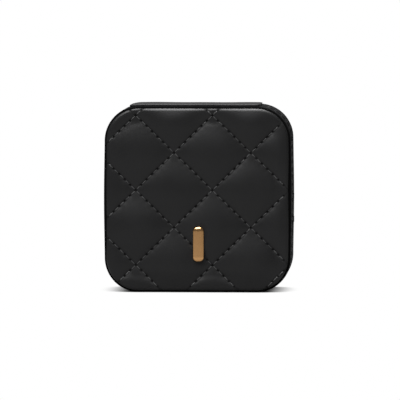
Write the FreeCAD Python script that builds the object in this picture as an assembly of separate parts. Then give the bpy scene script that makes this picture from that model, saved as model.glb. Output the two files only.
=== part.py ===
import FreeCAD
import Part
import math
import os

# Square jewellery case in quilted leather, closed by a zip, standing on its lower edge.
# X runs to the right, Y to the back and Z up. The lid faces -Y and its hinge is on top.
# The origin is on the standing surface, under the middle of the case. Sizes are in millimetres.

# Case, measured over the leather walls
CASE_WIDTH = 98.0
CASE_HEIGHT = 98.0
CORNER_RADIUS = 18.0
LID_DEPTH = 21.0
BASE_DEPTH = 29.0

# Layers
LEATHER = 1.6
PANEL_BOARD = 2.0
WALL_BOARD = 1.8
LINING = 1.0
PANEL_PAD = 1.5
BACK_BEVEL = 1.0

# Quilted front: the pitch is from corner to corner of a diamond, and one crossing fixes the pattern
QUILT_THICKNESS = 4.0
QUILT_CHANNEL = 2.4
QUILT_PITCH_X = 40.5
QUILT_PITCH_Z = 39.5
QUILT_CROSSING_X = 7.9
QUILT_CROSSING_Z = 53.8
COVER_INSET = 0.5
COVER_ROUND = 2.5

# Metal bar on the front, held by two prongs
BADGE_X = 0.6
BADGE_Z = 25.5
BADGE_WIDTH = 5.8
BADGE_HEIGHT = 18.2
BADGE_THICKNESS = 1.5
BADGE_CORNER = 2.2
BADGE_BEVEL = 0.5
BADGE_SINK = 1.1
PRONG_RADIUS = 0.6
PRONG_SPACING = 11.0
PRONG_CLEARANCE = 0.1
WASHER_RADIUS = 2.0
WASHER_THICKNESS = 0.5

# Hinge
STRIP_LENGTH = 69.0
STRIP_WIDTH = 32.0
STRIP_THICKNESS = 1.0
STRIP_SHIFT = -1.5
GLUE_LINE = 0.1
HINGE_CLOTH = 0.6

# Zip
ZIP_OPENING = 8.4
ZIP_TUCK = 3.5
TAPE = 0.6
TAPE_EDGE = 1.3
TAPE_CLEARANCE = 0.2
TOOTH_PITCH = 2.6
TOOTH_HEIGHT = 1.0
TOOTH_WIDTH = 1.0
TOOTH_BITE = 0.5
TOOTH_HEAD = 0.6
TOOTH_REACH = 2.4
STOP_WIDTH = 1.8

# Zip sliders, which meet half way up the right side
SLIDER_MEET = 44.0
SLIDER_SPACE = 0.4
SLIDER_LENGTH = 8.0
SLIDER_WIDTH = 6.4
SLIDER_TAIL_WIDTH = 4.4
SLIDER_SHOULDER = 5.0
SLIDER_PLATE = 0.6
SLIDER_GAP = 0.2
SLIDER_FLANGE = 0.45
SLIDER_ROUND = 0.7
POST_WIDTH = 0.7
POST_LENGTH = 2.2
POST_SETBACK = 0.8
BAIL_LENGTH = 3.6
BAIL_WIDTH = 1.2
BAIL_LEG = 0.7
BAIL_CROWN = 0.45
BAIL_CLEAR = 0.75
BAIL_SETBACK = 0.4
BAIL_ROUND = 0.5

# Zip pulls
PULL_WIDTH = 4.2
PULL_NECK = 3.4
PULL_THICKNESS = 0.5
PULL_PLAY = 0.1
PULL_WINDOW = 2.4
PULL_SIDE_PLAY = 0.4
PULL_SPACE = 0.7
PULL_ROUND = 1.2

# Fittings in the lid
MIRROR_SIZE = 66.0
MIRROR_CORNER = 10.0
MIRROR_THICKNESS = 1.5
BEZEL_WIDTH = 2.5
BEZEL_LIP = 1.0
BEZEL_HEIGHT = 2.0
BEZEL_CLEARANCE = 0.1

# Fittings in the base
LIP_HEIGHT = 5.5
LIP_GAP = 2.0
RING_ZONE = 42.0
ROLL_COUNT = 7
ROLL_HEIGHT = 15.0
ROLL_CROWN = 3.5
ROLL_GAP = 0.3
PARTITION = 2.4
PARTITION_DROP = 4.0
DIVIDER = 2.0
DIVIDER_DROP = 7.0
COMPARTMENTS = 3

# Planes across the depth of the case
PARTING = (LID_DEPTH - BASE_DEPTH) / 2
FRONT = PARTING - LID_DEPTH
BACK = PARTING + BASE_DEPTH
COVER_BACK = FRONT + QUILT_THICKNESS
LID_BOARD_BACK = COVER_BACK + PANEL_BOARD
LID_PANEL_BACK = LID_BOARD_BACK + PANEL_PAD
BASE_LEATHER_FRONT = BACK - LEATHER
BASE_BOARD_FRONT = BASE_LEATHER_FRONT - PANEL_BOARD
FLOOR = BASE_BOARD_FRONT - PANEL_PAD
FRAME_SETBACK = LIP_HEIGHT + LIP_GAP
LIP = PARTING - LIP_HEIGHT

# Insets of the layers from the outer face of the walls
FRAME_INSET = LEATHER
LINING_INSET = LEATHER + WALL_BOARD
ROOM_INSET = LINING_INSET + LINING

ZIP_END = STRIP_LENGTH / 2 - ZIP_TUCK
MIDDLE = CASE_HEIGHT / 2
BACKWARD = FreeCAD.Vector(0, 1, 0)

# Places outward from the right wall's outer face
WALL = CASE_WIDTH / 2
TEETH_FACE = WALL - LEATHER + TOOTH_HEIGHT
PLATE_BACK = TEETH_FACE + SLIDER_GAP
PLATE_FACE = PLATE_BACK + SLIDER_PLATE
TAPE_BACK = WALL - LEATHER - TAPE
BAIL_CENTRE = SLIDER_SPACE / 2 + SLIDER_LENGTH - BAIL_SETBACK - BAIL_LENGTH / 2
EYE_OUT = PLATE_FACE + BAIL_CLEAR / 2
EYE_RADIUS = PULL_THICKNESS / 2
EYE_DROP = BAIL_LENGTH / 2 - BAIL_LEG - EYE_RADIUS - PULL_PLAY
PULL_LENGTH = 2 * BAIL_CENTRE - EYE_DROP - BAIL_LENGTH / 2 - PULL_SPACE


def block(x0, x1, y0, y1, z0, z1):
    """Box between two corners."""
    return Part.makeBox(x1 - x0, y1 - y0, z1 - z0, FreeCAD.Vector(x0, y0, z0))


def rounded_edges(x0, x1, z0, z1, radius, y):
    """Arcs and lines of an upright rectangle with round corners, in order round it."""
    centres = (
        (x1 - radius, z1 - radius),
        (x0 + radius, z1 - radius),
        (x0 + radius, z0 + radius),
        (x1 - radius, z0 + radius),
    )
    arcs = []
    for quarter, (centre_x, centre_z) in enumerate(centres):
        points = []
        for angle in (0, 45, 90):
            turn = math.radians(90 * quarter + angle)
            points.append(
                FreeCAD.Vector(centre_x + radius * math.cos(turn), y, centre_z + radius * math.sin(turn))
            )
        arcs.append(Part.Arc(*points))
    edges = []
    for arc, following in zip(arcs, arcs[1:] + arcs[:1]):
        edges.append(arc.toShape())
        edges.append(Part.makeLine(arc.EndPoint, following.StartPoint))
    return edges


def rounded_slab(x0, x1, z0, z1, radius, y0, y1):
    """Slab with round corners between two depths."""
    face = Part.Face(Part.Wire(rounded_edges(x0, x1, z0, z1, radius, y0)))
    return face.extrude(FreeCAD.Vector(0, y1 - y0, 0))


def outline_edges(inset, y):
    """Outline of the case, drawn in from the outer face of the walls."""
    return rounded_edges(
        inset - WALL, WALL - inset, inset, CASE_HEIGHT - inset, CORNER_RADIUS - inset, y
    )


def case_slab(inset, y0, y1):
    """Slab with the outline of the case."""
    face = Part.Face(Part.Wire(outline_edges(inset, y0)))
    return face.extrude(FreeCAD.Vector(0, y1 - y0, 0))


def case_ring(outer_inset, inner_inset, y0, y1):
    """Closed wall with the outline of the case."""
    return case_slab(outer_inset, y0, y1).cut(case_slab(inner_inset, y0, y1))


def hinge_zone(half_length, shift=0):
    """Space round the top of the case that the hinge takes up."""
    top = CASE_HEIGHT + STRIP_THICKNESS + GLUE_LINE
    return block(shift - half_length, shift + half_length, FRONT, BACK, MIDDLE, top)


def edges_at_depth(shape, y):
    """Edges that lie in one plane across the depth."""
    found = []
    for edge in shape.Edges:
        if abs(edge.BoundBox.YMin - y) < 1e-6 and abs(edge.BoundBox.YMax - y) < 1e-6:
            found.append(edge)
    return found


def edges_along_x(shape):
    """Straight edges that run along X."""
    found = []
    for edge in shape.Edges:
        if abs(edge.BoundBox.XLength - edge.Length) < 1e-6:
            found.append(edge)
    return found


def quilt_ridges(rise):
    """Rows of padded arches between sewn lines that rise (1) or fall (-1) to the right."""
    along = FreeCAD.Vector(QUILT_PITCH_X, 0, rise * QUILT_PITCH_Z).normalize()
    across = FreeCAD.Vector(-rise * QUILT_PITCH_Z, 0, QUILT_PITCH_X).normalize()
    side = QUILT_PITCH_X * QUILT_PITCH_Z / math.hypot(QUILT_PITCH_X, QUILT_PITCH_Z)
    crossing = FreeCAD.Vector(QUILT_CROSSING_X, 0, QUILT_CROSSING_Z)
    centre = FreeCAD.Vector(0, 0, MIDDLE)
    reach = math.hypot(CASE_WIDTH, CASE_HEIGHT)
    rows = math.ceil(reach / side)
    start = centre + across * (crossing - centre).dot(across) - along * reach

    def place(row, depth):
        return start + across * (row * side) + BACKWARD * depth

    channel = FRONT + QUILT_CHANNEL
    behind = COVER_BACK + QUILT_THICKNESS
    edges = []
    for row in range(-rows, rows):
        arch = Part.Arc(place(row, channel), place(row + 0.5, FRONT), place(row + 1, channel))
        edges.append(arch.toShape())
    corners = (place(rows, channel), place(rows, behind), place(-rows, behind), place(-rows, channel))
    for first, second in zip(corners, corners[1:]):
        edges.append(Part.makeLine(first, second))
    return Part.Face(Part.Wire(edges)).extrude(along * (2 * reach))


def badge_slab(margin, y0, y1):
    """Outline of the metal bar between two depths."""
    return rounded_slab(
        BADGE_X - BADGE_WIDTH / 2 - margin,
        BADGE_X + BADGE_WIDTH / 2 + margin,
        BADGE_Z - BADGE_HEIGHT / 2 - margin,
        BADGE_Z + BADGE_HEIGHT / 2 + margin,
        BADGE_CORNER + margin,
        y0,
        y1,
    )


def prong_pair(radius, y0, y1):
    """Two round bars at the places of the prongs."""
    bars = []
    for way in (-1, 1):
        foot = FreeCAD.Vector(BADGE_X, y0, BADGE_Z + way * PRONG_SPACING / 2)
        bars.append(Part.makeCylinder(radius, y1 - y0, foot, BACKWARD))
    return bars


def lid_quilted_cover():
    """Padded leather front, sewn in diamonds, pressed flat under the bar."""
    blank_front = FRONT - BADGE_BEVEL
    blank = case_slab(COVER_INSET, blank_front, COVER_BACK)
    blank = blank.makeFillet(COVER_ROUND, edges_at_depth(blank, blank_front))
    cover = blank.common(quilt_ridges(1)).common(quilt_ridges(-1))
    cover = cover.cut(badge_slab(PRONG_CLEARANCE, blank_front, FRONT + BADGE_SINK))
    for hole in prong_pair(PRONG_RADIUS + PRONG_CLEARANCE, blank_front, COVER_BACK):
        cover = cover.cut(hole)
    return cover


def lid_board():
    """Stiff board behind the cover, with recesses for the washers."""
    board = case_slab(FRAME_INSET, COVER_BACK, LID_BOARD_BACK)
    for hole in prong_pair(PRONG_RADIUS + PRONG_CLEARANCE, COVER_BACK, LID_BOARD_BACK):
        board = board.cut(hole)
    recess_front = LID_BOARD_BACK - WASHER_THICKNESS
    for recess in prong_pair(WASHER_RADIUS + PRONG_CLEARANCE, recess_front, LID_BOARD_BACK):
        board = board.cut(recess)
    return board


def badge_bar():
    """Metal bar with its two prongs."""
    seat = FRONT + BADGE_SINK
    face = seat - BADGE_THICKNESS
    bar = badge_slab(0, face, seat)
    bar = bar.makeChamfer(BADGE_BEVEL, edges_at_depth(bar, face))
    return bar.multiFuse(prong_pair(PRONG_RADIUS, face + BADGE_BEVEL, LID_BOARD_BACK)).removeSplitter()


def badge_washers():
    """Washers on the ends of the prongs."""
    washers = []
    front = LID_BOARD_BACK - WASHER_THICKNESS
    bores = prong_pair(PRONG_RADIUS + PRONG_CLEARANCE, front, LID_BOARD_BACK)
    for disc, bore in zip(prong_pair(WASHER_RADIUS, front, LID_BOARD_BACK), bores):
        washers.append(disc.cut(bore))
    return Part.makeCompound(washers)


def mirror_slab(margin, y0, y1):
    """Outline of the mirror, grown by a margin, between two depths."""
    half = MIRROR_SIZE / 2 + margin
    return rounded_slab(-half, half, MIDDLE - half, MIDDLE + half, MIRROR_CORNER + margin, y0, y1)


def lid_mirror():
    """Mirror glass on the lid's lining."""
    return mirror_slab(0, LID_PANEL_BACK, LID_PANEL_BACK + MIRROR_THICKNESS)


def mirror_bezel():
    """Rim round the mirror, with a lip over its edge."""
    crest = LID_PANEL_BACK + BEZEL_HEIGHT
    rim = mirror_slab(BEZEL_WIDTH, LID_PANEL_BACK, crest)
    seat = mirror_slab(BEZEL_CLEARANCE, LID_PANEL_BACK, LID_PANEL_BACK + MIRROR_THICKNESS)
    return rim.cut(seat).cut(mirror_slab(-BEZEL_LIP, LID_PANEL_BACK, crest))


def lid_nodes():
    """Pieces of the lid."""
    edge = PARTING - FRAME_SETBACK
    return {
        "lid_quilted_cover": lid_quilted_cover(),
        "lid_board": lid_board(),
        "lid_wall_leather": case_ring(0, LEATHER, COVER_BACK, PARTING - ZIP_OPENING / 2),
        "lid_frame": case_ring(FRAME_INSET, LINING_INSET, LID_BOARD_BACK, edge),
        "lid_lining_panel": case_slab(LINING_INSET, LID_BOARD_BACK, LID_PANEL_BACK),
        "lid_wall_lining": case_ring(LINING_INSET, ROOM_INSET, LID_PANEL_BACK, edge),
        "lid_mirror": lid_mirror(),
        "mirror_bezel": mirror_bezel(),
        "badge_bar": badge_bar(),
        "badge_washers": badge_washers(),
    }


def base_back_leather():
    """Leather back panel with a bevelled rim."""
    panel = case_slab(0, BASE_LEATHER_FRONT, BACK)
    return panel.makeChamfer(BACK_BEVEL, edges_at_depth(panel, BACK))


def ring_roll(number):
    """Padded roll along X with an arched crown, trimmed to the corners of the tray."""
    low = ROOM_INSET
    pitch = (CASE_HEIGHT - 2 * ROOM_INSET) / ROLL_COUNT
    bottom = low + number * pitch + ROLL_GAP / 2
    top = bottom + pitch - ROLL_GAP
    start = ROOM_INSET - WALL
    shoulder = FLOOR - ROLL_HEIGHT + ROLL_CROWN
    crown = FreeCAD.Vector(start, FLOOR - ROLL_HEIGHT, (bottom + top) / 2)
    corners = (
        FreeCAD.Vector(start, shoulder, top),
        FreeCAD.Vector(start, FLOOR, top),
        FreeCAD.Vector(start, FLOOR, bottom),
        FreeCAD.Vector(start, shoulder, bottom),
    )
    edges = [Part.Arc(corners[3], crown, corners[0]).toShape()]
    for first, second in zip(corners, corners[1:]):
        edges.append(Part.makeLine(first, second))
    roll = Part.Face(Part.Wire(edges)).extrude(FreeCAD.Vector(RING_ZONE - ROLL_GAP / 2, 0, 0))
    return roll.common(case_slab(ROOM_INSET + ROLL_GAP / 2, FLOOR - ROLL_HEIGHT - ROLL_CROWN, FLOOR))


def compartment_nodes():
    """Long wall beside the ring rolls and short walls between the compartments."""
    left = ROOM_INSET - WALL + RING_ZONE
    right = left + PARTITION
    low = ROOM_INSET
    high = CASE_HEIGHT - ROOM_INSET
    nodes = {"centre_partition": block(left, right, LIP + PARTITION_DROP, FLOOR, low, high)}
    for number, name in enumerate(("cross_divider_lower", "cross_divider_upper"), start=1):
        middle = low + number * (high - low) / COMPARTMENTS
        nodes[name] = block(
            right, WALL - ROOM_INSET, LIP + DIVIDER_DROP, FLOOR, middle - DIVIDER / 2, middle + DIVIDER / 2
        )
    return nodes


def base_nodes():
    """Pieces of the base."""
    nodes = {
        "base_back_leather": base_back_leather(),
        "base_wall_leather": case_ring(0, LEATHER, PARTING + ZIP_OPENING / 2, BASE_LEATHER_FRONT),
        "base_board": case_slab(FRAME_INSET, BASE_BOARD_FRONT, BASE_LEATHER_FRONT),
        "base_frame": case_ring(FRAME_INSET, LINING_INSET, PARTING + FRAME_SETBACK, BASE_BOARD_FRONT),
        "base_floor_pad": case_slab(LINING_INSET, FLOOR, BASE_BOARD_FRONT),
        "base_tray_lining": case_ring(LINING_INSET, ROOM_INSET, LIP, FLOOR),
    }
    nodes.update(compartment_nodes())
    for number in range(ROLL_COUNT):
        nodes["ring_roll_%d" % (number + 1)] = ring_roll(number)
    return nodes


def hinge_nodes():
    """Leather strip over the hinge and the lining cloth under it."""
    strip = case_ring(
        -GLUE_LINE - STRIP_THICKNESS, -GLUE_LINE, PARTING - STRIP_WIDTH / 2, PARTING + STRIP_WIDTH / 2
    )
    reach = FRAME_SETBACK - TAPE_CLEARANCE
    cloth = case_ring(LEATHER, LEATHER + HINGE_CLOTH, PARTING - reach, PARTING + reach)
    return {
        "hinge_strip": strip.common(hinge_zone(STRIP_LENGTH / 2, STRIP_SHIFT)),
        "hinge_lining": cloth.common(hinge_zone(ZIP_END - ZIP_TUCK / 2)),
    }


def chain_places(shift):
    """Evenly spaced places round the zip: each has its point, its direction and the way outward."""
    edges = outline_edges(LEATHER, PARTING)
    length = sum(edge.Length for edge in edges)
    count = round(length / TOOTH_PITCH)
    places = []
    for number in range(count):
        run = (number + shift) * length / count
        for edge in edges:
            if run < edge.Length:
                break
            run -= edge.Length
        parameter = edge.getParameterByLength(run)
        point = edge.valueAt(parameter)
        along = edge.tangentAt(parameter)
        if point.z < MIDDLE or abs(point.x) > ZIP_END + STOP_WIDTH / 2:
            places.append((point, along, BACKWARD.cross(along)))
    return places


def chain_link(place, side, outline):
    """Small link on the tape, from its outline: distances from the parting and along the zip."""
    point, along, outward = place
    corners = [point + BACKWARD * (side * reach) + along * half for reach, half in outline]
    return Part.Face(Part.makePolygon(corners + corners[:1])).extrude(outward * TOOTH_HEIGHT)


def chain_side(side):
    """Teeth and end stops of one side of the zip: -1 is the lid's and 1 the base's."""
    shift = 0.25 + 0.25 * side
    places = chain_places(shift)
    places.sort(key=lambda place: math.atan2(-place[0].x, MIDDLE - place[0].z))
    slit = POST_WIDTH / 2 + SLIDER_GAP
    teeth = []
    for place in places[1:-1]:
        straight = CORNER_RADIUS < place[0].z < CASE_HEIGHT - CORNER_RADIUS
        tip = slit if straight and place[0].x > 0 else -TOOTH_BITE
        outline = (
            (tip, 0),
            (tip + TOOTH_HEAD, TOOTH_WIDTH / 2),
            (TOOTH_REACH, TOOTH_WIDTH / 2),
            (TOOTH_REACH, -TOOTH_WIDTH / 2),
            (tip + TOOTH_HEAD, -TOOTH_WIDTH / 2),
        )
        teeth.append(chain_link(place, side, outline))
    stops = []
    for place in (places[0], places[-1]):
        outline = (
            (slit, STOP_WIDTH / 2),
            (TOOTH_REACH, STOP_WIDTH / 2),
            (TOOTH_REACH, -STOP_WIDTH / 2),
            (slit, -STOP_WIDTH / 2),
        )
        stops.append(chain_link(place, side, outline))
    return Part.makeCompound(teeth), Part.makeCompound(stops)


def zip_tape(side):
    """Cloth tape that carries one side of the zip."""
    depths = sorted((PARTING + side * TAPE_EDGE, PARTING + side * (FRAME_SETBACK - TAPE_CLEARANCE)))
    tape = case_ring(LEATHER, LEATHER + TAPE, *depths)
    return tape.cut(hinge_zone(ZIP_END))


def zip_nodes():
    """Tapes, teeth and end stops of the zip."""
    nodes = {}
    for name, side in (("lid", -1), ("base", 1)):
        nodes["zip_tape_" + name] = zip_tape(side)
        nodes["zip_teeth_" + name], nodes["zip_stops_" + name] = chain_side(side)
    return nodes


def slider_plate(way, x0, x1):
    """Shield-shaped plate, wide where the two sliders meet; way is 1 for the upper slider."""
    start = SLIDER_SPACE / 2
    half = SLIDER_WIDTH / 2
    tail = SLIDER_TAIL_WIDTH / 2
    outline = (
        (-half, start),
        (half, start),
        (half, start + SLIDER_SHOULDER),
        (tail, start + SLIDER_LENGTH),
        (-tail, start + SLIDER_LENGTH),
        (-half, start + SLIDER_SHOULDER),
    )
    corners = []
    for across, run in outline:
        corners.append(FreeCAD.Vector(x0, PARTING + across, SLIDER_MEET + way * run))
    return Part.Face(Part.makePolygon(corners + corners[:1])).extrude(FreeCAD.Vector(x1 - x0, 0, 0))


def slider_block(way, x0, x1, across0, across1, run0, run1):
    """Box on a slider, by its distances from the parting and from where the sliders meet."""
    z0, z1 = sorted((SLIDER_MEET + way * run0, SLIDER_MEET + way * run1))
    return block(x0, x1, PARTING + across0, PARTING + across1, z0, z1)


def slider_bail(way):
    """Arch on the slider that the pull hangs from."""
    half = BAIL_LENGTH / 2
    gap = half - BAIL_LEG
    wide = BAIL_WIDTH / 2
    crest = PLATE_FACE + BAIL_CLEAR + BAIL_CROWN
    arch = slider_block(way, PLATE_BACK, crest, -wide, wide, BAIL_CENTRE - half, BAIL_CENTRE + half)
    crest_edges = []
    for edge in arch.Edges:
        if abs(edge.BoundBox.XMin - crest) < 1e-6 and edge.BoundBox.YLength > BAIL_WIDTH / 2:
            crest_edges.append(edge)
    arch = arch.makeFillet(BAIL_ROUND, crest_edges)
    opening = slider_block(
        way, PLATE_FACE, PLATE_FACE + BAIL_CLEAR, -wide, wide, BAIL_CENTRE - gap, BAIL_CENTRE + gap
    )
    return arch.cut(opening)


def slider(way):
    """Zip slider: two plates on a post, a flange beside the base's teeth and the bail."""
    start = SLIDER_SPACE / 2
    half = SLIDER_WIDTH / 2
    back_face = TAPE_BACK - SLIDER_GAP
    back_rear = WALL - LINING_INSET + SLIDER_GAP
    face = slider_plate(way, PLATE_BACK, PLATE_FACE)
    face = face.makeFillet(SLIDER_ROUND, edges_along_x(face))
    rear = slider_plate(way, back_rear, back_face)
    post_start = start + POST_SETBACK
    post = slider_block(
        way, back_rear, PLATE_FACE, -POST_WIDTH / 2, POST_WIDTH / 2, post_start, post_start + POST_LENGTH
    )
    flange = slider_block(
        way,
        WALL - LEATHER + SLIDER_GAP,
        PLATE_FACE,
        half - SLIDER_FLANGE,
        half,
        start + SLIDER_ROUND,
        start + SLIDER_SHOULDER - SLIDER_ROUND,
    )
    return face.multiFuse([rear, post, flange, slider_bail(way)]).removeSplitter()


def pull(way):
    """Flat pull that hangs from the bail by a round bar."""
    eye_z = SLIDER_MEET + way * BAIL_CENTRE - EYE_DROP
    inner = EYE_OUT - PULL_THICKNESS / 2
    neck = PULL_NECK / 2
    half = PULL_WIDTH / 2
    outline = (
        (-neck, eye_z),
        (neck, eye_z),
        (half, eye_z - PULL_WINDOW),
        (half, eye_z - PULL_LENGTH),
        (-half, eye_z - PULL_LENGTH),
        (-half, eye_z - PULL_WINDOW),
    )
    corners = [FreeCAD.Vector(inner, PARTING + across, z) for across, z in outline]
    plate = Part.Face(Part.makePolygon(corners + corners[:1])).extrude(FreeCAD.Vector(PULL_THICKNESS, 0, 0))
    ends = []
    for edge in edges_along_x(plate):
        if abs(edge.BoundBox.ZMin - (eye_z - PULL_LENGTH)) < 1e-6:
            ends.append(edge)
    plate = plate.makeFillet(PULL_ROUND, ends)
    window = BAIL_WIDTH / 2 + PULL_SIDE_PLAY
    plate = plate.cut(
        block(inner, inner + PULL_THICKNESS, PARTING - window, PARTING + window, eye_z - PULL_WINDOW, eye_z)
    )
    eye = Part.makeCylinder(EYE_RADIUS, PULL_NECK, FreeCAD.Vector(EYE_OUT, PARTING - neck, eye_z), BACKWARD)
    return plate.fuse(eye).removeSplitter()


def slider_nodes():
    """The two sliders and their pulls."""
    return {
        "upper_slider": slider(1),
        "lower_slider": slider(-1),
        "upper_pull": pull(1),
        "lower_pull": pull(-1),
    }


def main():
    """Build every piece and write one file for each."""
    os.makedirs("parts", exist_ok=True)
    nodes = {}
    for group in (lid_nodes(), base_nodes(), hinge_nodes(), zip_nodes(), slider_nodes()):
        nodes.update(group)
    for name, shape in nodes.items():
        shape.exportStep("parts/%s.step" % name)


main()
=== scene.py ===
import logging
import math
from collections.abc import Callable
from dataclasses import dataclass
from enum import Enum, IntEnum

import bpy
import numpy as np
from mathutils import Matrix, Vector
from numpy.typing import NDArray


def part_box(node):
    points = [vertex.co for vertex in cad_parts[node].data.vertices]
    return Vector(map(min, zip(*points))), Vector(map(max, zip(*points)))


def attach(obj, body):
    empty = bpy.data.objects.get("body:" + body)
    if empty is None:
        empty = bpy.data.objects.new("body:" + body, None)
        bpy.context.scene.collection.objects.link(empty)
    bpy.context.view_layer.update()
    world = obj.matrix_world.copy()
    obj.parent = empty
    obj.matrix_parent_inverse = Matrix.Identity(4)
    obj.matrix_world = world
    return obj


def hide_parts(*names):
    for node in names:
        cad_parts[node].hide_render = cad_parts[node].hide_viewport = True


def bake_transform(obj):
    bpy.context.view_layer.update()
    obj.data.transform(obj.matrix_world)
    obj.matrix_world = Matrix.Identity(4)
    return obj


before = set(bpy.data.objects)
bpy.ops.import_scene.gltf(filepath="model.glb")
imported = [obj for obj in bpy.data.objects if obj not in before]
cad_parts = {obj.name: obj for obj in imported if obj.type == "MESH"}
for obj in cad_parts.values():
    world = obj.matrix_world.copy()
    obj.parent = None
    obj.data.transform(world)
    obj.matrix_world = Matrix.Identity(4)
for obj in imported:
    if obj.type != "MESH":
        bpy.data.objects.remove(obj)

Array = NDArray[np.float64]
Indices = NDArray[np.int64]
Relief = Callable[[Array, Array, Array], Array]
Socket = bpy.types.NodeSocket
Triple = tuple[float, float, float]

MM = 0.001
QUARTER_TURN = math.pi / 2
log = logging.getLogger("jewellery_case")


class Body(Enum):
    """Bodies of the case that the pieces move with."""

    BASE = "base"
    LID = "lid"


class Slot(Enum):
    """Finish slots of the case's record."""

    LEATHER = "black_leather"
    BOARD = "stiff_board"
    SUEDE = "suede_lining"
    MIRROR = "mirror_glass"
    GOLD = "gold_metal"
    STEEL = "plain_steel"
    TAPE = "zip_tape"
    DARK_METAL = "dark_metal"


class Facing(Enum):
    """Ways that a panel can face."""

    FRONT = "front"
    BACK = "back"


class Axis(IntEnum):
    """Axes that the dividers run along."""

    X = 0
    Z = 2


@dataclass(frozen=True)
class Shape:
    """Points of a surface and its faces, grouped by their number of corners."""

    points: Array
    faces: tuple[Indices, ...]

    def volume(self) -> float:
        """Measure the enclosed space as a sum of wedges on the origin.

        Returns:
            Signed volume, positive where the faces look outward.
        """
        total = 0.0
        for group in self.faces:
            corners = self.points[group]
            turns = np.cross(corners[:, 1:-1], corners[:, 2:])
            total += float(np.sum(corners[:, :1] * turns))
        return total / 6

    def outward(self) -> "Shape":
        """Turn every face outward."""
        turned = Shape(self.points, tuple(group[:, ::-1] for group in self.faces))
        return turned if self.volume() < 0 else self

    def repeated(self, origins: Array, axes: Array) -> "Shape":
        """Copy the shape to many places at once.

        Args:
            origins: Where the shape's own origin goes, one row per copy.
            axes: For each copy the vectors that its own x, y and z become.

        Returns:
            One shape that holds all the copies.
        """
        points = origins[:, None, :] + np.einsum("vi,nij->nvj", self.points, axes)
        steps = len(self.points) * np.arange(len(origins))
        faces = tuple(
            (group[None] + steps[:, None, None]).reshape(-1, group.shape[1])
            for group in self.faces
        )
        return Shape(points.reshape(-1, 3), faces)


@dataclass(frozen=True)
class Stations:
    """Places along an outline: the centre that each turns about and its way outward."""

    centre: Array
    outward: Array


@dataclass(frozen=True)
class Outline:
    """Rectangle with rounded corners, in a plane with a sideways and an upward axis."""

    half_width: float
    low: float
    high: float
    corner: float
    middle: float = 0.0

    @classmethod
    def around(cls, node: str, corner: float) -> "Outline":
        """Outline a node of the frame as it is seen from the front."""
        low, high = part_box(node)
        return cls((high.x - low.x) / 2, low.z, high.z, corner, (low.x + high.x) / 2)

    @property
    def half_height(self) -> float:
        """Half the height."""
        return (self.high - self.low) / 2

    @property
    def centre(self) -> Array:
        """Middle point."""
        return np.array([self.middle, (self.low + self.high) / 2])

    @property
    def straights(self) -> Array:
        """Half lengths of the level and of the upright straights."""
        return np.array([self.half_width, self.half_height]) - self.corner

    def knots(self, inset: float = 0.0) -> Array:
        """Find where straights and arcs meet.

        Args:
            inset: How far inside the outline the walk is made.

        Returns:
            Lengths from the top middle, clockwise, at which a straight or an arc begins.
        """
        wide, tall = self.straights
        arc = (self.corner - inset) * QUARTER_TURN
        return np.cumsum([0, wide, arc, 2 * tall, arc, 2 * wide, arc, 2 * tall, arc, wide])

    def length(self, inset: float = 0.0) -> float:
        """Measure the way round, at a distance inside the outline."""
        return float(self.knots(inset)[-1])

    def steps(self, straight: int, arc: int) -> Array:
        """Share out places along the walk.

        Args:
            straight: Number of places on each straight.
            arc: Number of places on each arc.

        Returns:
            Lengths from the top middle, clockwise.
        """
        half = straight // 2
        counts = np.cumsum([0, half, arc, straight, arc, straight, arc, straight, arc, half])
        return np.interp(np.arange(counts[-1]), counts, self.knots())

    def stations(self, run: Array, inset: float = 0.0) -> Stations:
        """Walk clockwise from the top middle. The centre moves along the straights and rests on
        the arcs, while the way outward rests on the straights and turns on the arcs.

        Args:
            run: Lengths walked.
            inset: How far inside the outline the walk is made.

        Returns:
            The places reached.
        """
        knots = self.knots(inset)
        wide, tall = self.straights
        run = np.mod(run, knots[-1])
        across = np.interp(run, knots, wide * np.array([0, 1, 1, 1, 1, -1, -1, -1, -1, 0]))
        up = np.interp(run, knots, tall * np.array([1, 1, 1, -1, -1, -1, -1, 1, 1, 1]))
        turns = np.array([1, 1, 0, 0, -1, -1, -2, -2, -3, -3])
        turn = np.interp(run, knots, QUARTER_TURN * turns)
        centre = np.stack([across, up], axis=1) + self.centre
        return Stations(centre, np.stack([np.cos(turn), np.sin(turn)], axis=1))

    def points(self, stations: Stations, inset: Array | float = 0.0) -> Array:
        """Place points at a distance inside the outline."""
        reach = np.broadcast_to(self.corner - np.asarray(inset), len(stations.centre))
        return stations.centre + reach[:, None] * stations.outward

    def traced(self, straight: int, arc: int) -> Array:
        """Trace the outline as a row of points, so many to each straight and arc."""
        return self.points(self.stations(self.steps(straight, arc)))

    def room(self, across: Array, up: Array) -> Array:
        """Measure how far points lie inside the outline.

        Args:
            across: Sideways positions.
            up: Upward positions.

        Returns:
            Distances to the outline, positive inside it.
        """
        past_x = np.abs(across - self.centre[0]) - self.straights[0]
        past_z = np.abs(up - self.centre[1]) - self.straights[1]
        outside = np.hypot(np.maximum(past_x, 0), np.maximum(past_z, 0))
        return self.corner - outside - np.minimum(np.maximum(past_x, past_z), 0)


def strip_section(node: str, inset: float, thickness: float, edge: float) -> Outline:
    """Outline a strip's section, inset across and depth up, as deep as a node of the frame."""
    low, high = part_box(node)
    return Outline(thickness / 2, low.y, high.y, edge, inset + thickness / 2)


def smooth_step(value: Array) -> Array:
    """Ease from 0 to 1: three squares less two cubes of the value, held at both ends."""
    held = np.clip(value, 0, 1)
    return held * held * (3 - 2 * held)


def end_pinch(left: Array, radius: float) -> Array:
    """Draw a side in along a quarter circle, by the length that is left to the end."""
    near = radius - np.clip(left, 0, radius)
    return radius - np.sqrt(radius**2 - near**2)


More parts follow.
